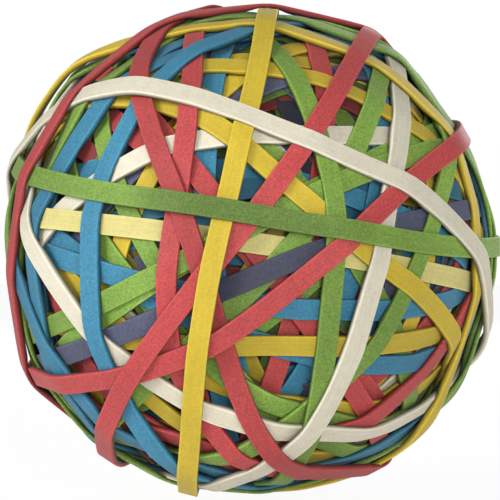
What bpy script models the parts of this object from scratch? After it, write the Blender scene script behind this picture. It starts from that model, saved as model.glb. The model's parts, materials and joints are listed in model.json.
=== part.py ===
"""A rubber band ball: loops of flat coloured rubber wound one over another round a packed core.

Metres, +Z up, origin at the ball's centre. The side the ball is usually shown from faces -Y.
The outer size isn't set: it follows from the core, the rubber's section and how the bands cross.
"""
import math

import bmesh
import bpy
import numpy as np

# Sizes that can be set on their own, in metres
CORE_RADIUS = 0.0322
CORE_FLATNESS = 0.93
BAND_WIDTH = 0.0032
BAND_THICKNESS = 0.00065
LAY_GAP = 0.00015

# How finely the round forms are cut into flats
CORE_SUBDIVISIONS = 3
BAND_CORNERS = 26
TOUCH_STEP = 0.0005
TOUCH_MARGIN = 0.0004
CORE_POINT_SPACING = 0.0006
FLUSH = 0.000005
SHARPEST_BEND = math.radians(60)

COLLECTION = "rubber_band_ball"

# Linear base colour and roughness of each dyed rubber
RUBBERS = {
    "red": ((0.56, 0.075, 0.085), 0.62),
    "green": ((0.20, 0.40, 0.075), 0.62),
    "yellow": ((0.75, 0.55, 0.035), 0.60),
    "blue": ((0.035, 0.30, 0.50), 0.62),
    "slate": ((0.10, 0.10, 0.20), 0.64),
    "white": ((0.80, 0.75, 0.64), 0.60),
    "cream": ((0.84, 0.78, 0.36), 0.60),
    "core": ((0.16, 0.12, 0.07), 0.75),
}

# The bands in the order they were wound, the innermost first.
# lean: the way a band runs at its point nearest the front, in degrees from level.
# bow: how far from the middle of the front that point lies, in degrees.
# drift: how far the band lies to one side of a great circle, in degrees.
# waves: its wandering to either side, in degrees, as two waves round the ball and then three,
# each given at the front point and a quarter of a wave on.
BANDS = [
    ("yellow_low_right", "yellow", 72, -51, -0.5, (0, 0, 0, 0)),
    ("white_low_right", "white", 29, -61, 1, (0, 0, 0, 0)),
    ("red_inner_slant", "red", 25, -50, 0, (0, 0, 0, 0)),
    ("blue_inner_level", "blue", -10, 20, 0, (0, 0, 0, 0)),
    ("yellow_top_left", "yellow", 10, 58, 0, (0, 0, 0, 0)),
    ("yellow_low_mid", "yellow", 4, -56, 0, (0, 0, 0, 0)),
    ("red_low_bow", "red", -70, -64, 0, (0, 0, 0, 0)),
    ("red_low_slant", "red", -87, -16, -2.5, (0, 0, 0, 0)),
    ("slate_top_right", "slate", 38, 37, 0, (0, 0, 0, 0)),
    ("yellow_top_right", "yellow", 61, 33, -0.5, (0, 0, 0, 0)),
    ("blue_low_upright", "blue", -80, -10, 0, (0, 0, 0, 0)),
    ("blue_low_mid", "blue", 67, -28, 0, (0, 0, 0, 0)),
    ("red_low_mid", "red", 78, -15, 0, (0, 0, 0, 0)),
    ("red_mid_slant", "red", -47, 6, -5.5, (0, 0, 0, 0)),
    ("blue_mid_upright", "blue", -88, -11, 0, (0, 0, 0, 0)),
    ("green_low_left", "green", 41, -14, -2, (0, 0, 0, 0)),
    ("red_low_left", "red", -49, -58, 0.5, (0, 0, 0, 0)),
    ("yellow_low_left", "yellow", -49, -48, 0, (0, 0, 0, 0)),
    ("yellow_left_deep", "yellow", -26, -35, -0.5, (0, 0, 0, 0)),
    ("green_low_right", "green", -49, 23, -2.5, (0, 0, 0, 0)),
    ("green_low_mid", "green", -56, -22, -0.5, (0, 0, 0, 0)),
    ("red_right_inner", "red", -53, 5, -3.5, (0, 0, 0, 0)),
    ("green_left_mid", "green", -41, -31, 2.5, (-0.5, 0, 0, 0)),
    ("blue_left_inner", "blue", 56, 59, 3, (-1.5, 3, 0, 0)),
    ("blue_left_slant", "blue", -20, -21, -0.5, (0, 0, 0, 0)),
    ("yellow_right_level", "yellow", -3, -11, -13, (1, 1, 0, 0)),
    ("blue_right_level", "blue", -7, -13, 0, (0, -0.5, 0, 0)),
    ("white_upper_bow", "white", 22, 33, -3, (0.5, -3, -0.5, -2.5)),
    ("cream_level", "cream", -8, 3, -1, (0, 0, 0, 0)),
    ("green_cross_slant", "green", 31, 6, -0.5, (0, -0.5, 0, 0)),
    ("red_low_right_bow", "red", 11, -55, 0.5, (0.5, -1.5, 0, 0)),
    ("yellow_upper_bow", "yellow", -8, 48, 2.5, (0, 0, 0.5, -0.5)),
    ("green_upper_slant", "green", 52, -7, 2, (-1, -1, -1, -1)),
    ("green_left_slant", "green", 22, 5, 0.5, (-0.5, 2.5, 0, 0)),
    ("slate_diagonal", "slate", 21, 1, -7.5, (1, -0.5, 0, 1)),
    ("green_right_slant", "green", 46, -41, 1, (-0.5, 1, 0, 0)),
    ("yellow_long_bow", "yellow", -31, 28, -6, (0, -1, -3, -2.5)),
    ("blue_left_outer", "blue", 58, 58, -2, (1, 0.5, 0, 0)),
    ("green_left_rim", "green", 73, 67, 2.5, (-2.5, -2.5, -2, -3)),
    ("blue_low_left_rim", "blue", 67, -86, -0.5, (0, -0.5, 0, 0)),
    ("blue_low_right_rim", "blue", -40, -66, 2, (0, 0, 0, 0)),
    ("red_inner_upright", "red", -78, -19, 2, (-2.5, -2, -0.5, -4)),
    ("white_low_bow", "white", -37, -44, 3.5, (-1, 2, -0.5, 1.5)),
    ("green_right_upright", "green", -89, 24, -3.5, (0.5, 1, 0, -1)),
    ("blue_left_bow", "blue", 90, 48, -8, (2, -3.5, 0.5, 2)),
    ("white_right_bow", "white", 64, -28, -4.5, (1, 1.5, -0.5, 2)),
    ("green_right_rim", "green", -15, 83, -0.5, (0, 0, 0, 0)),
    ("green_low_rim", "green", -9, -85, 0, (0, 0, 0, 0)),
    ("yellow_rim", "yellow", -49, 73, -4, (1, 1, 1, 0)),
    ("red_long_upright", "red", -69, -25, 7.5, (0.5, 0.5, 3, -1.5)),
    ("red_cross_diagonal", "red", 31, -11, -0.5, (-0.5, 0.5, -1, 1.5)),
    ("red_long_diagonal", "red", 58, 5, 1, (-1, -2, -0.5, -0.5)),
    ("yellow_upright", "yellow", 80, 2, 4.5, (0, 0, 0.5, -0.5)),
    ("green_belt", "green", -10, -2, 9, (-1, 0.5, 1, 0)),
    ("white_sash", "white", -21, 37, -2, (-1.5, 1, -2.5, -0.5)),
    ("red_rim", "red", 57, 62, 8, (-3.5, 2, -1, 2)),
]


def make_rubber(name):
    """A matt dyed rubber."""
    colour, roughness = RUBBERS[name]
    rubber = bpy.data.materials.new(name + "_rubber")
    rubber.use_nodes = True
    shader = rubber.node_tree.nodes["Principled BSDF"]
    shader.inputs["Base Color"].default_value = (*colour, 1.0)
    shader.inputs["Roughness"].default_value = roughness
    shader.inputs["Metallic"].default_value = 0.0
    rubber.diffuse_color = (*colour, 1.0)
    return rubber


def band_axes(lean, bow):
    """The band's own axes as rows: towards its front point, along the band there, and its pole."""
    lean = math.radians(lean)
    bow = math.radians(bow)
    front = np.array([0.0, -1.0, 0.0])
    along = np.array([math.cos(lean), 0.0, math.sin(lean)])
    across = np.array([-math.sin(lean), 0.0, math.cos(lean)])
    nearest = math.cos(bow) * front + math.sin(bow) * across
    pole = math.cos(bow) * across - math.sin(bow) * front
    return np.array([nearest, along, pole])


def wander(angles, drift, waves):
    """How far the band lies to the side of its great circle at each angle round it, in radians."""
    two_here, two_on, three_here, three_on = waves
    side = drift + two_here * np.cos(2 * angles) + two_on * np.sin(2 * angles)
    side = side + three_here * np.cos(3 * angles) + three_on * np.sin(3 * angles)
    return np.radians(side)


def tight_outline(points):
    """The convex outline of flat points, anticlockwise: the line that stretched rubber takes."""
    points = points[np.lexsort((points[:, 1], points[:, 0]))]
    chains = []
    for run in (points, points[::-1]):
        chain = []
        for x, y in run:
            while len(chain) > 1:
                (ax, ay), (bx, by) = chain[-2], chain[-1]
                stands_out = (bx - ax) * (y - ay) - (by - ay) * (x - ax)
                if stands_out > FLUSH * math.hypot(x - ax, y - ay):
                    break
                chain.pop()
            chain.append((x, y))
        chains.append(chain[:-1])
    return np.array(chains[0] + chains[1])


def outline_sides(outline):
    """The outline's sides as outward directions and distances from the middle."""
    run = np.roll(outline, -1, axis=0) - outline
    run /= np.linalg.norm(run, axis=1)[:, None]
    outward = np.stack([run[:, 1], -run[:, 0]], axis=1)
    return outward, (outward * outline).sum(axis=1)


def cross(first, second):
    """The area between two flat directions, positive where the second lies to the left."""
    return first[:, 0] * second[:, 1] - first[:, 1] * second[:, 0]


def fewer_corners(outline):
    """Takes out the side that matters least until few are left: its neighbours run on and meet."""
    while len(outline) > BAND_CORNERS:
        ahead = np.roll(outline, -1, axis=0)
        run_in = outline - np.roll(outline, 1, axis=0)
        run_out = ahead - np.roll(outline, -2, axis=0)
        meeting = cross(run_in, run_out)
        reach = cross(ahead - outline, run_out) / meeting
        peak = outline + run_in * reach[:, None]
        added = np.abs(cross(peak - outline, ahead - outline))
        turn = -(run_in * run_out).sum(axis=1)
        turn /= np.linalg.norm(run_in, axis=1) * np.linalg.norm(run_out, axis=1)
        least = int(np.argmin(np.where(turn > math.cos(SHARPEST_BEND), added, np.inf)))
        outline[least] = peak[least]
        outline = np.delete(outline, (least + 1) % len(outline), axis=0)
    return outline


def corners_of(outward, distance):
    """Where each side's line meets the one before it."""
    before, before_distance = np.roll(outward, 1, axis=0), np.roll(distance, 1)
    turn = cross(before, outward)
    x = (before_distance * outward[:, 1] - distance * before[:, 1]) / turn
    y = (before[:, 0] * distance - outward[:, 0] * before_distance) / turn
    return np.stack([x, y], axis=1)


def ring_points(axes, slope, sides, grown, drift, waves, reach):
    """The corners of a band's outline, with a function that places a point of it in the ball."""
    outward, distance = sides
    corners = corners_of(outward, distance + grown)
    angles = np.arctan2(corners[:, 1], corners[:, 0])
    shift = reach * np.sin(wander(angles, drift, waves))

    def place(flat, shifted, height):
        widened = flat * (1 - slope * height)[:, None]
        local = np.column_stack([widened, height + shifted])
        return local @ axes

    return corners, shift, place


def touch_points(corners, shift, place):
    """Points along a band's edges and creases, close enough together for the next band to lie on."""
    half = BAND_WIDTH / 2
    points = []
    following = np.roll(corners, -1, axis=0)
    following_shift = np.roll(shift, -1)
    for here, there, here_shift, there_shift in zip(corners, following, shift, following_shift):
        steps = max(2, int(np.linalg.norm(there - here) / TOUCH_STEP) + 1)
        share = np.linspace(0, 1, steps)
        flat = here + (there - here) * share[:, None]
        shifted = here_shift + (there_shift - here_shift) * share
        for height in (-half, half):
            points.append(place(flat, shifted, np.full(steps, height)))
        across = np.linspace(-half, half, 7)
        points.append(place(np.tile(here, (7, 1)), np.full(7, here_shift), across))
    return np.vstack(points)


def wind_band(name, lean, bow, drift, waves, wound, reach):
    """Stretches one band over all that is wound already, and returns its object and its touch points."""
    axes = band_axes(lean, bow)
    half = BAND_WIDTH / 2
    slope = math.tan(math.radians(drift)) / (reach * math.cos(math.radians(drift)))
    local = wound @ axes.T
    angles = np.arctan2(local[:, 1], local[:, 0])
    height = local[:, 2] - reach * np.sin(wander(angles, drift, waves))
    under = np.abs(height) < half + TOUCH_MARGIN
    flat = local[under, :2] / (1 - slope * height[under])[:, None]
    outward, distance = outline_sides(fewer_corners(tight_outline(flat)))
    sides = (outward, distance + LAY_GAP)

    corners, shift, place = ring_points(axes, slope, sides, 0.0, drift, waves, reach)
    count = len(corners)
    lower = place(corners, shift, np.full(count, -half))
    upper = place(corners, shift, np.full(count, half))
    shape = bmesh.new()
    loop = [shape.verts.new(point) for point in lower]
    edges = [shape.edges.new((loop[i], loop[(i + 1) % count])) for i in range(count)]
    extruded = bmesh.ops.extrude_edge_only(shape, edges=edges)["geom"]
    for corner, point in zip(loop, upper):
        partner = next(e.other_vert(corner) for e in corner.link_edges if e.other_vert(corner) not in loop)
        partner.co = point
    shape.faces.ensure_lookup_table()
    shape.normal_update()
    if shape.faces[0].normal.dot(shape.faces[0].calc_center_median()) < 0:
        bmesh.ops.reverse_faces(shape, faces=shape.faces)
    mesh = bpy.data.meshes.new(name)
    shape.to_mesh(mesh)
    shape.free()
    band = bpy.data.objects.new(name, mesh)
    rubber = band.modifiers.new("rubber_thickness", "SOLIDIFY")
    rubber.thickness = BAND_THICKNESS
    rubber.offset = 1.0
    rubber.use_even_offset = True

    outer = ring_points(axes, slope, sides, BAND_THICKNESS, drift, waves, reach)
    return band, touch_points(*outer)


def make_core():
    """The packed inner windings, which are one mass of rubber by now."""
    shape = bmesh.new()
    bmesh.ops.create_icosphere(shape, subdivisions=CORE_SUBDIVISIONS, radius=CORE_RADIUS)
    bmesh.ops.scale(shape, vec=(1.0, CORE_FLATNESS, 1.0), verts=shape.verts)
    mesh = bpy.data.meshes.new("wound_core")
    shape.to_mesh(mesh)
    shape.free()
    mesh.shade_smooth()
    return bpy.data.objects.new("wound_core", mesh)


def core_points():
    """Points all over the core for the first bands to lie on, spread evenly by the golden angle."""
    count = int(4 * math.pi * CORE_RADIUS ** 2 / CORE_POINT_SPACING ** 2)
    rank = np.arange(count) + 0.5
    rise = 1 - 2 * rank / count
    around = math.pi * (1 + math.sqrt(5)) * rank
    ring = np.sqrt(1 - rise ** 2)
    points = CORE_RADIUS * np.column_stack([ring * np.cos(around), ring * np.sin(around), rise])
    return points * (1.0, CORE_FLATNESS, 1.0)


for item in list(bpy.data.objects):
    bpy.data.objects.remove(item, do_unlink=True)
collection = bpy.data.collections.new(COLLECTION)
bpy.context.scene.collection.children.link(collection)
rubbers = {name: make_rubber(name) for name in RUBBERS}

core = make_core()
core.data.materials.append(rubbers["core"])
collection.objects.link(core)

wound = core_points()
reach = CORE_RADIUS + LAY_GAP + BAND_THICKNESS
for name, colour, lean, bow, drift, waves in BANDS:
    band, touches = wind_band(name + "_band", lean, bow, drift, waves, wound, reach)
    band.data.materials.append(rubbers[colour])
    collection.objects.link(band)
    wound = np.vstack([wound, touches])
    reach = max(reach, float(np.linalg.norm(touches, axis=1).max()))
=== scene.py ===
"""A rubber band ball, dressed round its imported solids: every band as stretched, dyed rubber."""
import json
import math

import bmesh
import bpy
import numpy as np
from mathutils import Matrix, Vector, noise
from mathutils.kdtree import KDTree


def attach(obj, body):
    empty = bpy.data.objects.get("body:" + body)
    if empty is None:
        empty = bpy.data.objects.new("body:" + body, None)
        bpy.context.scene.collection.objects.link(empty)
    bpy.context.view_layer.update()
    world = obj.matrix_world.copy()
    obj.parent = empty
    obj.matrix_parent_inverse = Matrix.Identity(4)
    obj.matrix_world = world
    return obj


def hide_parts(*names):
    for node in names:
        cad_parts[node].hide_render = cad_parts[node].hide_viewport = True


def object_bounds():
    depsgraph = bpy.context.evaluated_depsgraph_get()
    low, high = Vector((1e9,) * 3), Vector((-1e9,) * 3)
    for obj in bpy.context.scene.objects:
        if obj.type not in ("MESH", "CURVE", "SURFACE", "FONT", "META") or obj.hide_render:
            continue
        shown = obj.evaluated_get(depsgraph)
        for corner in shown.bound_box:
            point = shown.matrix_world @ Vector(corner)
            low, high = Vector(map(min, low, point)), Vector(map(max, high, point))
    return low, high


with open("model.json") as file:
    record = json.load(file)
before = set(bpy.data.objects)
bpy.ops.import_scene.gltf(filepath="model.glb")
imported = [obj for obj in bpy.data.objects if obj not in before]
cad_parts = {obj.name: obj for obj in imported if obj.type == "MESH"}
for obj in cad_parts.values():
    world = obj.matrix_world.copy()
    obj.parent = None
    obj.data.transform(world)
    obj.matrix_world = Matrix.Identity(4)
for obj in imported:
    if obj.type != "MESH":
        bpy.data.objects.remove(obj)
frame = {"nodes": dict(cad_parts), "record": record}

cad_box = [list(corner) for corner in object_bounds()]

# The studio: a pale floor under the ball, white behind it, and soft lamps as for a catalogue picture.
# The camera looks level at the ball's middle from twelve radii away, where the outline just fills
# the picture.
BALL_RADIUS = 0.0397
CAMERA_DISTANCE = 12 * BALL_RADIUS
OUTLINE_SHARE = 248 / 250
SENSOR_WIDTH_MM = 36.0
FLOOR_SIZE = 6.0
FLOOR_DROP = 0.0005
FLOOR_GLOW = 0.28
FLOOR_GLOW_TO_CAMERA = 0.6
ROOM_LIGHT = 0.22
WHITE = (1.0, 1.0, 1.0, 1.0)

camera_data = bpy.data.cameras.new("camera")
camera_data.sensor_width = SENSOR_WIDTH_MM
outline_slope = math.tan(math.asin(BALL_RADIUS / CAMERA_DISTANCE))
camera_data.lens = SENSOR_WIDTH_MM / 2 * OUTLINE_SHARE / outline_slope
camera = bpy.data.objects.new("camera", camera_data)
camera.location = (0.0, -CAMERA_DISTANCE, 0.0)
camera.rotation_euler = (math.radians(90), 0.0, 0.0)
bpy.context.scene.collection.objects.link(camera)
bpy.context.scene.camera = camera
bpy.context.scene.view_settings.view_transform = "Standard"


def hang_lamp(name, place, size, watts):
    """A square soft lamp that faces the ball."""
    data = bpy.data.lights.new(name, "AREA")
    data.size = size
    data.energy = watts
    lamp = bpy.data.objects.new(name, data)
    lamp.location = place
    lamp.rotation_euler = (-Vector(place)).to_track_quat("-Z", "Y").to_euler()
    bpy.context.scene.collection.objects.link(lamp)


hang_lamp("key_lamp", place=(-0.78, -0.6, 0.36), size=0.4, watts=6.0)
hang_lamp("front_lamp", place=(0.22, -0.95, 0.03), size=0.5, watts=5.8)
hang_lamp("back_lamp", place=(0.45, 0.95, 0.4), size=0.6, watts=4.6)


class Wire:
    """A shader value that takes part in ordinary arithmetic."""

    def __init__(self, finish, socket):
        self.finish = finish
        self.socket = socket

    def work(self, operation, first, second):
        return self.finish.add("ShaderNodeMath", {"operation": operation}, {0: first, 1: second})

    def __add__(self, other):
        return self.work("ADD", self, other)

    def __sub__(self, other):
        return self.work("SUBTRACT", self, other)

    def __rsub__(self, other):
        return self.work("SUBTRACT", other, self)

    def __mul__(self, other):
        return self.work("MULTIPLY", self, other)

    __radd__ = __add__
    __rmul__ = __mul__


class Finish:
    """The nodes of a new material or of the room, and the one way that they are made."""

    def __init__(self, owner):
        self.owner = owner
        owner.use_nodes = True
        self.tree = owner.node_tree
        self.tree.nodes.clear()

    def add(self, kind, settings, inputs, output=0):
        node = self.tree.nodes.new(kind)
        for setting, value in settings.items():
            setattr(node, setting, value)
        for key, value in inputs.items():
            if isinstance(value, Wire):
                self.tree.links.new(value.socket, node.inputs[key])
            else:
                node.inputs[key].default_value = value
        return Wire(self, node.outputs[output]) if node.outputs else None

    def blend(self, share, first, second, mode="MIX"):
        """Mixes two colours."""
        settings = {"data_type": "RGBA", "blend_type": mode}
        return self.add("ShaderNodeMix", settings, {0: share, 6: first, 7: second}, output=2)


pale_floor = Finish(bpy.data.materials.new("pale_floor"))
lit = pale_floor.add("ShaderNodeBsdfDiffuse", {}, {"Color": (0.86, 0.86, 0.86, 1.0)})
glow = pale_floor.add("ShaderNodeEmission", {}, {"Color": WHITE, "Strength": 1.06})
seen = pale_floor.add("ShaderNodeLightPath", {}, {}, output="Is Camera Ray")
share = seen * FLOOR_GLOW_TO_CAMERA + FLOOR_GLOW
surface = pale_floor.add("ShaderNodeMixShader", {}, {0: share, 1: lit, 2: glow})
pale_floor.add("ShaderNodeOutputMaterial", {}, {"Surface": surface})

floor_height = cad_box[0][2] - FLOOR_DROP
floor_shape = bmesh.new()
bmesh.ops.create_grid(floor_shape, x_segments=1, y_segments=1, size=FLOOR_SIZE / 2)
bmesh.ops.translate(floor_shape, vec=(0.0, 0.0, floor_height), verts=floor_shape.verts)
floor_mesh = bpy.data.meshes.new("floor")
floor_shape.to_mesh(floor_mesh)
floor_shape.free()
floor_mesh.materials.append(pale_floor.owner)
floor = bpy.data.objects.new("floor", floor_mesh)
bpy.context.scene.collection.objects.link(floor)

room = Finish(bpy.data.worlds.new("white_room"))
room_light = room.add("ShaderNodeBackground", {}, {"Color": WHITE, "Strength": ROOM_LIGHT})
backdrop = room.add("ShaderNodeBackground", {}, {"Color": WHITE, "Strength": 1.0})
seen = room.add("ShaderNodeLightPath", {}, {}, output="Is Camera Ray")
surface = room.add("ShaderNodeMixShader", {}, {0: seen, 1: room_light, 2: backdrop})
room.add("ShaderNodeOutputWorld", {}, {"Surface": surface})
bpy.context.scene.world = room.owner


# The courses of the bands. Each solid of the frame gives the way its band runs round the ball and how
# high it lies. The inner windings are laid under them in every direction. All are then pressed
# together as rubber is, until each lies on those below it and dips under those above.
STATIONS = 240
RUBBER_WIDTH = 0.0032
FREE_THICKNESS = 0.00098
SQUEEZED_THICKNESS = 0.0007
SURFACE = 0.0398
PACKING_INSIDE = 0.85
PACKING_OUTSIDE = 0.6
HARMONICS = 4
BEND_GAP = 0.02
OFF_EVERY_POLE = (0.3, 0.5, 0.8)
turn = 2 * math.pi / STATIONS
station_angles = turn * np.arange(STATIONS)


class Course:
    """One band's way round the ball: a direction, a height and a place in the pile at each station."""

    def __init__(self, name, directions, height, rank):
        self.name = name
        self.inner = name.startswith("inner_")
        self.directions = directions
        self.height = height
        self.rank = rank
        ahead = np.roll(directions, -1, axis=0) - np.roll(directions, 1, axis=0)
        across = np.cross(ahead, directions)
        self.across = across / np.linalg.norm(across, axis=1)[:, None]


def axes_round(pole):
    """Two directions at right angles to a pole and to each other."""
    start = np.cross(pole, OFF_EVERY_POLE)
    start /= np.linalg.norm(start)
    return start, np.cross(pole, start)


def go_round(pole, lift):
    """The directions of a loop round a pole, lifted off its great circle by an angle at each station."""
    start, side = axes_round(pole)
    around = np.cos(station_angles)[:, None] * start + np.sin(station_angles)[:, None] * side
    return np.cos(lift)[:, None] * around + np.sin(lift)[:, None] * pole


def read_course(node):
    """Reads the middle line of a band's solid: four corners at each bend, two of them on the outside."""
    corners = np.array([v.co[:] for v in frame["nodes"][node].data.vertices])
    corners = np.unique(corners.round(7), axis=0)
    pole = np.linalg.svd(corners - corners.mean(axis=0))[2][2]
    start, side = axes_round(pole)
    angle = np.arctan2(corners @ side, corners @ start)
    reach = np.linalg.norm(corners, axis=1)
    lift = np.arcsin(corners @ pole / reach)
    waves = [np.ones_like(angle)]
    waves_here = [np.ones(STATIONS)]
    for wave in range(1, HARMONICS + 1):
        waves += [np.cos(wave * angle), np.sin(wave * angle)]
        waves_here += [np.cos(wave * station_angles), np.sin(wave * station_angles)]
    amounts = np.linalg.lstsq(np.array(waves).T, lift, rcond=None)[0]
    directions = go_round(pole, np.array(waves_here).T @ amounts)

    order = np.argsort(angle % (2 * math.pi))
    angle = angle[order] % (2 * math.pi)
    reach = reach[order]
    bend = np.concatenate([[0], np.cumsum(np.diff(angle) > BEND_GAP)])
    bend_angle = np.array([angle[bend == b].mean() for b in range(bend[-1] + 1)])
    bend_reach = np.array([reach[bend == b].max() for b in range(bend[-1] + 1)])
    following = np.searchsorted(bend_angle, station_angles, side="right") % len(bend_angle)
    before = following - 1
    ahead = (bend_angle[following] - station_angles) % (2 * math.pi)
    behind = (station_angles - bend_angle[before]) % (2 * math.pi)
    sides = np.sin(ahead) / bend_reach[before] + np.sin(behind) / bend_reach[following]
    return directions, np.sin(ahead + behind) / sides


def pack_down(height):
    """Brings a height nearer the ball's surface, as wound rubber packs."""
    below = SURFACE - PACKING_INSIDE * (SURFACE - height)
    above = SURFACE + PACKING_OUTSIDE * (height - SURFACE)
    return np.where(height < SURFACE, below, above)


courses = []
for node in frame["nodes"]:
    if node != "wound_core":
        directions, height = read_course(node)
        courses.append(Course(node, directions, pack_down(height), height))

# The inner windings' courses. The first of them fill the ball evenly, one a little above the other. Of
# the rest, two in three run near the outline, where the background would show between the outer bands.
INNER_COUNT = 70
INNER_TOP = 0.0368
INNER_STEP = 0.00003
INNER_DRIFT = 9
INNER_SWAY = 2.5
PACKING_COUNT = 66
PACKING_TOP = 0.0384
RIM_SPREAD = 0.3
RIM_DRIFT = 19
RIM_POLE = (0.0, -1.0, 0.0)
RANK_STEP = 0.0001
chance = np.random.default_rng(11)
for number in range(INNER_COUNT + PACKING_COUNT):
    packing = number >= INNER_COUNT
    pole = chance.normal(size=3)
    drift = chance.uniform(-INNER_DRIFT, INNER_DRIFT)
    if packing and number % 3:
        pole = pole * RIM_SPREAD + RIM_POLE
        drift *= RIM_DRIFT / INNER_DRIFT
    pole /= np.linalg.norm(pole)
    drift = math.radians(drift)
    sway = math.radians(chance.uniform(-INNER_SWAY, INNER_SWAY))
    phase = chance.uniform(0, 2 * math.pi)
    directions = go_round(pole, drift + sway * np.sin(2 * station_angles + phase))
    top = PACKING_TOP if packing else INNER_TOP - INNER_STEP * (INNER_COUNT - number)
    rank = np.full(STATIONS, RANK_STEP * number)
    courses.append(Course(f"inner_{number}", directions, np.full(STATIONS, top), rank))

# The pressing together of all courses, which leaves each band its own height and thickness at its left
# and its right edge. Inner windings give way more than the outer bands do.
CONTACT_REACH = 1.12
PRESSING_ROUNDS = 120
SETTLING_ROUNDS = 40
PUSH = 0.8
STRAIGHTENING = 0.35
PULL_BACK = 0.03
FLATTENING = 0.15
INNER_GIVES = 0.94
LOWEST_FLOOR = 0.03
TAUT_REACH = 36
THINNEST_SHARE = 0.85


def find_contacts(courses):
    """Lists where bands cross: a sample of one, the station of the other, and which of them is on top."""
    tree = KDTree(len(courses) * STATIONS)
    for number, course in enumerate(courses):
        for station, direction in enumerate(course.directions):
            tree.insert(direction, number * STATIONS + station)
    tree.balance()
    half = RUBBER_WIDTH / 2 / SURFACE
    mine, theirs, my_side, their_side, on_top = [], [], [], [], []
    for number, course in enumerate(courses):
        for side in (-1.0, 0.0, 1.0):
            samples = course.directions + side * half * course.across
            for station, sample in enumerate(samples):
                nearest = {}
                for _, index, distance in tree.find_range(sample, half * CONTACT_REACH):
                    other = index // STATIONS
                    if other != number and distance < nearest.get(other, (1.0, 0))[0]:
                        nearest[other] = (distance, index)
                for other, (_, index) in nearest.items():
                    there = index % STATIONS
                    away = sample - courses[other].directions[there]
                    offset = float(away @ courses[other].across[there])
                    mine.append(number * STATIONS + station)
                    theirs.append(index)
                    my_side.append(side)
                    their_side.append(max(-1.0, min(1.0, offset / half)))
                    on_top.append(1.0 if course.rank[station] > courses[other].rank[there] else -1.0)
    return [np.array(values) for values in (mine, theirs, my_side, their_side, on_top)]


def height_at(left, right, index, right_share):
    """The height of a band between its left and its right edge."""
    return left[index] * (1 - right_share) + right[index] * right_share


def soften(track, passes=4):
    """Rounds off a height where the band bends."""
    for _ in range(passes):
        track = track / 2 + (np.roll(track, 1) + np.roll(track, -1)) / 4
    return track


def stretch_over(floor):
    """The height of a taut band over what is under it: straight from one high place to the next."""
    height = floor.copy()
    for _ in range(2):
        for step in range(1, TAUT_REACH):
            ends = 1 / np.roll(height, step) + 1 / np.roll(height, -step)
            height = np.maximum(height, 2 * math.cos(step * turn) / ends)
    return height


def draw_in(courses, left, right, contacts):
    """Draws each outer band in, in the order of winding, until it lies taut on the bands under it."""
    mine, theirs, my_side, their_side, on_top = contacts
    outer = [number for number, course in enumerate(courses) if not course.inner]
    for number in sorted(outer, key=lambda n: courses[n].rank.mean()):
        span = slice(number * STATIONS, (number + 1) * STATIONS)
        under = (mine // STATIONS == number) & (on_top > 0)
        support = height_at(left, right, theirs, (1 + their_side) / 2) + SQUEEZED_THICKNESS
        for edge, near in ((left, my_side < 0.5), (right, my_side > -0.5)):
            floor = np.full(STATIONS, LOWEST_FLOOR)
            here = under & near
            np.maximum.at(floor, mine[here] % STATIONS, support[here])
            edge[span] = np.minimum(edge[span], stretch_over(floor))


def squeeze(left, right, contacts):
    """The thickness of each band's two edges: thinner where it lies close over another."""
    mine, theirs, my_side, their_side, on_top = contacts
    here = height_at(left, right, mine, (1 + my_side) / 2)
    there = height_at(left, right, theirs, (1 + their_side) / 2)
    space = np.clip(np.abs(here - there), SQUEEZED_THICKNESS * THINNEST_SHARE, FREE_THICKNESS)
    upper = np.where(on_top > 0, mine, theirs)
    upper_side = np.where(on_top > 0, my_side, their_side)
    left_thick = np.full(len(left), FREE_THICKNESS)
    right_thick = np.full(len(left), FREE_THICKNESS)
    for thick, near in ((left_thick, upper_side < 0.5), (right_thick, upper_side > -0.5)):
        np.minimum.at(thick, upper[near], space[near])
    return left_thick, right_thick


def press_together(courses):
    """Moves the bands' two edges in and out until no two bands fill the same place."""
    contacts = find_contacts(courses)
    mine, theirs, my_side, their_side, on_top = contacts
    count = len(courses)
    left = np.concatenate([course.height for course in courses])
    right = left.copy()
    wanted = left.reshape(count, STATIONS).copy()
    inner = np.repeat([course.inner for course in courses], STATIONS)
    alike = inner[mine] == inner[theirs]
    mine_gives = np.where(alike, 0.5, np.where(inner[mine], INNER_GIVES, 1 - INNER_GIVES))
    mine_right = (1 + my_side) / 2
    theirs_right = (1 + their_side) / 2
    both_edges = ((left, 1 - mine_right, 1 - theirs_right), (right, mine_right, theirs_right))
    for step in range(PRESSING_ROUNDS + SETTLING_ROUNDS):
        here = height_at(left, right, mine, mine_right)
        there = height_at(left, right, theirs, theirs_right)
        short = np.maximum(0, SQUEEZED_THICKNESS - on_top * (here - there)) * on_top
        for edge, my_share, their_share in both_edges:
            up = np.zeros_like(edge)
            down = np.zeros_like(edge)
            my_push = short * my_share * mine_gives
            their_push = -short * their_share * (1 - mine_gives)
            np.maximum.at(up, mine, my_push)
            np.minimum.at(down, mine, my_push)
            np.maximum.at(up, theirs, their_push)
            np.minimum.at(down, theirs, their_push)
            edge += PUSH * (up + down)
            if step < PRESSING_ROUNDS:
                track = edge.reshape(count, STATIONS)
                smooth = (np.roll(track, 1, axis=1) + np.roll(track, -1, axis=1)) / 2
                track += STRAIGHTENING * (smooth - track)
                track += PULL_BACK * (wanted - track)
        middle = (left + right) / 2
        left += FLATTENING * (middle - left)
        right += FLATTENING * (middle - right)
    draw_in(courses, left, right, contacts)
    left = np.concatenate([soften(track) for track in left.reshape(count, STATIONS)])
    right = np.concatenate([soften(track) for track in right.reshape(count, STATIONS)])
    left_thick, right_thick = squeeze(left, right, contacts)
    for number, course in enumerate(courses):
        span = slice(number * STATIONS, (number + 1) * STATIONS)
        course.left = left[span]
        course.right = right[span]
        course.left_thick = soften(left_thick[span], passes=1)
        course.right_thick = soften(right_thick[span], passes=1)


press_together(courses)


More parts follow.
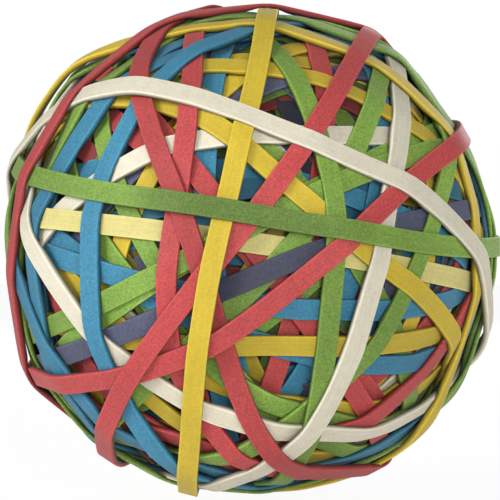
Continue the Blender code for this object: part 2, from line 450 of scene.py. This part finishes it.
# The section of a band, cut from a flat tube: square sides, wide faces and slightly softened edges. It is
# spun into a plain ring, which is then laid along each course.
EDGE_ROUNDING = 0.00013
EDGE_STEPS = 2
FACE_MARGIN = 0.00022
WELD = 0.00001
CORNERS = ((1, 1, 0), (-1, 1, 90), (-1, -1, 180), (1, -1, 270))

section = []
for across_sign, depth_sign, first_angle in CORNERS:
    middle_across = across_sign * (RUBBER_WIDTH / 2 - EDGE_ROUNDING)
    middle_depth = -FREE_THICKNESS / 2 + depth_sign * (FREE_THICKNESS / 2 - EDGE_ROUNDING)
    arc = []
    for step in range(EDGE_STEPS + 1):
        angle = math.radians(first_angle + 90 * step / EDGE_STEPS)
        arc_across = middle_across + EDGE_ROUNDING * math.cos(angle)
        arc_depth = middle_depth + EDGE_ROUNDING * math.sin(angle)
        arc.append((arc_across, arc_depth))
    flat_depth = 0.0 if depth_sign > 0 else -FREE_THICKNESS
    support = (across_sign * (RUBBER_WIDTH / 2 - EDGE_ROUNDING - FACE_MARGIN), flat_depth)
    section += arc + [support] if across_sign * depth_sign > 0 else [support] + arc


def spin_ring(name, steps):
    """A plain ring of the band's section, to be laid along a course afterwards."""
    shape = bmesh.new()
    ring = [shape.verts.new((1 + depth, 0.0, across)) for across, depth in section]
    edges = [shape.edges.new((ring[i], ring[(i + 1) % len(ring)])) for i in range(len(ring))]
    bmesh.ops.spin(shape, geom=ring + edges, cent=(0, 0, 0), axis=(0, 0, 1), dvec=(0, 0, 0),
                   angle=2 * math.pi, steps=steps, use_merge=True, use_duplicate=False)
    bmesh.ops.remove_doubles(shape, verts=shape.verts, dist=WELD)
    bmesh.ops.recalc_face_normals(shape, faces=shape.faces)
    mesh = bpy.data.meshes.new(name)
    shape.to_mesh(mesh)
    shape.free()
    mesh.shade_smooth()
    return mesh


band_ring = spin_ring("band_ring", STATIONS)
inner_ring = spin_ring("inner_ring", STATIONS // 3)


# The laying of a band. Its mesh carries what the rubber's finish follows: the way along the band, the top
# edges that take a painted highlight, the cut sides that take painted shade, and the depth of its dye
# together with the inner windings' painted shade, darker on some bands where they cross the front.
HIGHLIGHT_REACH = 0.0001
DARK_IN_FRONT = {"green_belt_band": 0.42, "slate_diagonal_band": 0.38}
DARK_FROM = 0.86


def mark(mesh, name, values):
    """Writes a number or a vector for each point of a band into its mesh."""
    is_vector = values.ndim == 2
    marks = mesh.attributes.new(name, "FLOAT_VECTOR" if is_vector else "FLOAT", "POINT")
    marks.data.foreach_set("vector" if is_vector else "value", values.ravel())


def lay_ring(ring, course, tone):
    """A copy of the plain ring, laid along a course and marked for its finish."""
    mesh = ring.copy()
    count = len(mesh.vertices)
    plain = np.zeros(count * 3)
    mesh.vertices.foreach_get("co", plain)
    plain = plain.reshape(count, 3)
    angle = np.arctan2(plain[:, 1], plain[:, 0]) % (2 * math.pi)
    station = np.rint(angle / turn).astype(int) % STATIONS
    across = plain[:, 2]
    depth = np.hypot(plain[:, 0], plain[:, 1]) - 1
    share = across / RUBBER_WIDTH
    thick = course.left_thick[station] * (0.5 - share) + course.right_thick[station] * (0.5 + share)
    top = course.left[station] * (0.5 - share) + course.right[station] * (0.5 + share)
    height = top + depth * thick / FREE_THICKNESS
    placed = course.directions[station] * height[:, None] + course.across[station] * across[:, None]
    mesh.vertices.foreach_set("co", placed.ravel())

    mark(mesh, "laid", np.column_stack([np.cos(angle) * SURFACE, np.sin(angle) * SURFACE, across]))
    # A painted highlight: the top edges of the band are made paler, where light would catch them.
    highlight_from = RUBBER_WIDTH / 2 - EDGE_ROUNDING - HIGHLIGHT_REACH
    nearness = np.clip((np.abs(across) - highlight_from) / EDGE_ROUNDING, 0, 1)
    mark(mesh, "edge", nearness * (depth > -EDGE_ROUNDING * 1.5))
    # Painted shade on the cut sides: none at the top, full from a little past halfway down.
    mark(mesh, "wall", np.clip(-(depth + EDGE_ROUNDING) / (FREE_THICKNESS / 2), 0, 1))
    frontness = np.clip((-course.directions[station, 1] - DARK_FROM) / (1 - DARK_FROM), 0, 1)
    darkening = DARK_IN_FRONT.get(course.name, 0.0) * frontness ** 0.5
    mark(mesh, "tone", tone * (1 - darkening))
    mesh.update()
    return mesh


# The rubber: dyed, matt and finely speckled, with faint lengthways streaks from the cutting, a painted
# highlight that makes the top edges a little paler than the faces, and painted shade that darkens the cut
# sides towards the foot of the band.
GRAIN_FINENESS = 3200.0
CLOUD_FINENESS = 700.0
STREAK_FINENESS = (120.0, 120.0, 2600.0)
FADING_FINENESS = 38.0
CLOUD_DEPTH = 0.2
STREAK_DEPTH = 0.2
# Painted highlight on the top edges.
EDGE_PAINTED_HIGHLIGHT = 0.2
# Painted shade on the cut sides.
WALL_PAINTED_SHADE = 0.85
ROUGHNESS = 0.6
RELIEF_HEIGHT = 0.00008


def mix_rubber(name, colour, speckle, fade):
    """The finish of one dye."""
    finish = Finish(bpy.data.materials.new(name))
    place = finish.add("ShaderNodeTexCoord", {}, {}, output="Object")
    laid = finish.add("ShaderNodeAttribute", {"attribute_name": "laid"}, {}, output="Vector")
    # The edge mark carries the painted highlight along the top edges.
    edge = finish.add("ShaderNodeAttribute", {"attribute_name": "edge"}, {}, output="Fac")
    wall = finish.add("ShaderNodeAttribute", {"attribute_name": "wall"}, {}, output="Fac")
    # The tone mark: a random tone for each band, the inner windings' painted shade, and darkening at the
    # front on some bands.
    tone = finish.add("ShaderNodeAttribute", {"attribute_name": "tone"}, {}, output="Fac")
    grain = finish.add("ShaderNodeTexNoise", {}, {
        "Vector": place, "Scale": GRAIN_FINENESS, "Detail": 3.0, "Roughness": 0.7})
    clouds = finish.add("ShaderNodeTexNoise", {}, {"Vector": place, "Scale": CLOUD_FINENESS, "Detail": 3.0})
    stretch = finish.add("ShaderNodeMapping", {}, {"Vector": laid, "Scale": STREAK_FINENESS})
    streaks = finish.add("ShaderNodeTexNoise", {}, {"Vector": stretch, "Scale": 1.0, "Detail": 2.0})
    fading = finish.add("ShaderNodeTexNoise", {}, {
        "Vector": place, "Scale": FADING_FINENESS, "Detail": 1.0})
    light = 1.0 + (grain - 0.5) * speckle + (clouds - 0.5) * CLOUD_DEPTH
    # Adds the painted highlight along the top edges.
    light = light + (streaks - 0.5) * STREAK_DEPTH + edge * EDGE_PAINTED_HIGHLIGHT
    # Multiplies in the painted shade of the cut sides.
    light = light * tone * (1.0 + (fading - 0.5) * fade) * (1.0 - wall * WALL_PAINTED_SHADE)
    grey = finish.add("ShaderNodeCombineColor", {}, {0: light, 1: light, 2: light})
    shade = finish.blend(1.0, (*colour, 1.0), grey, mode="MULTIPLY")
    relief = grain * 0.6 + streaks * 0.4
    bump = finish.add("ShaderNodeBump", {}, {
        "Strength": 0.25, "Distance": RELIEF_HEIGHT, "Height": relief})
    shader = finish.add("ShaderNodeBsdfPrincipled", {}, {
        "Base Color": shade, "Roughness": ROUGHNESS + (grain - 0.5) * 0.2, "Metallic": 0.0,
        "Specular IOR Level": 0.35, "Sheen Weight": 0.08, "Sheen Roughness": 0.5, "Normal": bump})
    finish.add("ShaderNodeOutputMaterial", {}, {"Surface": shader})
    return finish.owner


tones = np.random.default_rng(5)
tone_of = {course.name: tones.uniform(0.9, 1.08) for course in courses if not course.inner}
slot_of = {row["node"]: row["material_slot"] for row in frame["record"]["subparts"]}
rubber = {}


def show_piece(name, mesh, material):
    """Puts a finished piece into the scene, on the ball."""
    mesh.materials.clear()
    mesh.materials.append(material)
    piece = bpy.data.objects.new(name, mesh)
    bpy.context.scene.collection.objects.link(piece)
    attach(piece, "root")
    return piece


def lay_bands(dye):
    """Lays every band of one dye in place of its plain solid."""
    for course in courses:
        if slot_of.get(course.name) == dye + "_rubber":
            mesh = lay_ring(band_ring, course, tone_of[course.name])
            mesh.name = "laid_" + course.name
            piece = show_piece("laid_" + course.name, mesh, rubber[dye])
            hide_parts(course.name)


# The red bands: thirteen of them, from the slants that lie deep in the gaps to the two long diagonals.
# The last band of all to be wound on is red too, and runs round the outline. A soft warm red.
rubber["red"] = mix_rubber("red_dye", (0.53, 0.07, 0.07), speckle=1.6, fade=0.5)
lay_bands("red")

# The green bands: leaf green, the most uneven dye of all. The belt was one of the last to be wound on,
# level round the ball, and its colour is made darker where it crosses the front.
rubber["green"] = mix_rubber("green_dye", (0.222, 0.375, 0.062), speckle=1.9, fade=1.1)
lay_bands("green")

# The yellow bands: golden yellow and smooth. One stands upright across the front, with only the belt and
# the white sash over it there, one follows the outline, and short lengths of the rest show in the gaps.
rubber["yellow"] = mix_rubber("yellow_dye", (0.66, 0.485, 0.04), speckle=0.6, fade=0.4)
lay_bands("yellow")

# The blue bands: a clear mid blue. Most show on the left side, where a wide bow comes down from the
# top, and one runs level low on the right.
rubber["blue"] = mix_rubber("blue_dye", (0.054, 0.25, 0.395), speckle=1.6, fade=0.6)
lay_bands("blue")

# The slate bands: dull violet blue, the darkest dye. Both have many others wound over them, so they show
# only as short lengths.
rubber["slate"] = mix_rubber("slate_dye", (0.105, 0.115, 0.185), speckle=1.7, fade=0.8)
lay_bands("slate")

# The white bands: undyed rubber, a warm off-white. The sash was wound on late, over all but the red
# band at the outline, and runs across the upper half from rim to rim.
rubber["white"] = mix_rubber("white_dye", (0.82, 0.765, 0.605), speckle=0.42, fade=0.25)
lay_bands("white")

# The cream band: pale lemon rubber, the only one of its dye. It runs level across the middle, under the
# upright bands.
rubber["cream"] = mix_rubber("cream_dye", (0.79, 0.70, 0.255), speckle=0.5, fade=0.3)
lay_bands("cream")


# The inner windings: bands that show only in the gaps. They run in every direction under the others and are
# joined into one piece for each dye. Their colours are darkened below those outside with painted shade for
# the gaps they lie in, each by a random amount, some much more than others.
INNER_DYES = ("red", "green", "blue", "yellow", "red", "green", "blue", "white", "slate", "yellow")
# Painted shade for the gaps: each inner winding's colour is multiplied by a random tone between these two.
DARKEST_SHADED_TONE = 0.14
PALEST_SHADED_TONE = 0.74
inner_shapes = {dye: bmesh.new() for dye in rubber}
for number, course in enumerate(course for course in courses if course.inner):
    mesh = lay_ring(inner_ring, course, tones.uniform(DARKEST_SHADED_TONE, PALEST_SHADED_TONE))
    inner_shapes[INNER_DYES[number % len(INNER_DYES)]].from_mesh(mesh)
    bpy.data.meshes.remove(mesh)
for dye, shape in inner_shapes.items():
    if shape.verts:
        mesh = bpy.data.meshes.new("inner_windings_" + dye)
        shape.to_mesh(mesh)
        mesh.shade_smooth()
        show_piece("inner_windings_" + dye, mesh, rubber[dye])
    shape.free()


# The core: the bands that were wound first, packed too deep to tell apart. It is a lumpy ball, coloured
# near black with painted shade and mottled a little paler, and only a little of it shows, at the bottom of
# the widest gaps.
HEART_RADIUS = 0.0322
LUMP_HEIGHT = 0.0005
LUMPS_PER_METRE = 160.0
# The core's colour is painted shade, mottled between these two.
CORE_DEEP_PAINTED_SHADE = (0.03, 0.02, 0.015, 1.0)
CORE_PALER_PAINTED_SHADE = (0.10, 0.06, 0.04, 1.0)
heart_shape = bmesh.new()
bmesh.ops.create_icosphere(heart_shape, subdivisions=5, radius=HEART_RADIUS)
for point in heart_shape.verts:
    lump = LUMP_HEIGHT * noise.noise(point.co * LUMPS_PER_METRE)
    point.co *= 1 + lump / HEART_RADIUS
heart_mesh = bpy.data.meshes.new("packed_heart")
heart_shape.to_mesh(heart_mesh)
heart_shape.free()
heart_mesh.shade_smooth()

heart_rubber = Finish(bpy.data.materials.new("heart_rubber"))
place = heart_rubber.add("ShaderNodeTexCoord", {}, {}, output="Object")
clouds = heart_rubber.add("ShaderNodeTexNoise", {}, {"Vector": place, "Scale": 300.0, "Detail": 2.0})
shade = heart_rubber.blend(clouds, CORE_DEEP_PAINTED_SHADE, CORE_PALER_PAINTED_SHADE)
shader = heart_rubber.add("ShaderNodeBsdfPrincipled", {}, {"Base Color": shade, "Roughness": 0.8})
heart_rubber.add("ShaderNodeOutputMaterial", {}, {"Surface": shader})
heart = show_piece("packed_heart", heart_mesh, heart_rubber.owner)
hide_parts("wound_core")
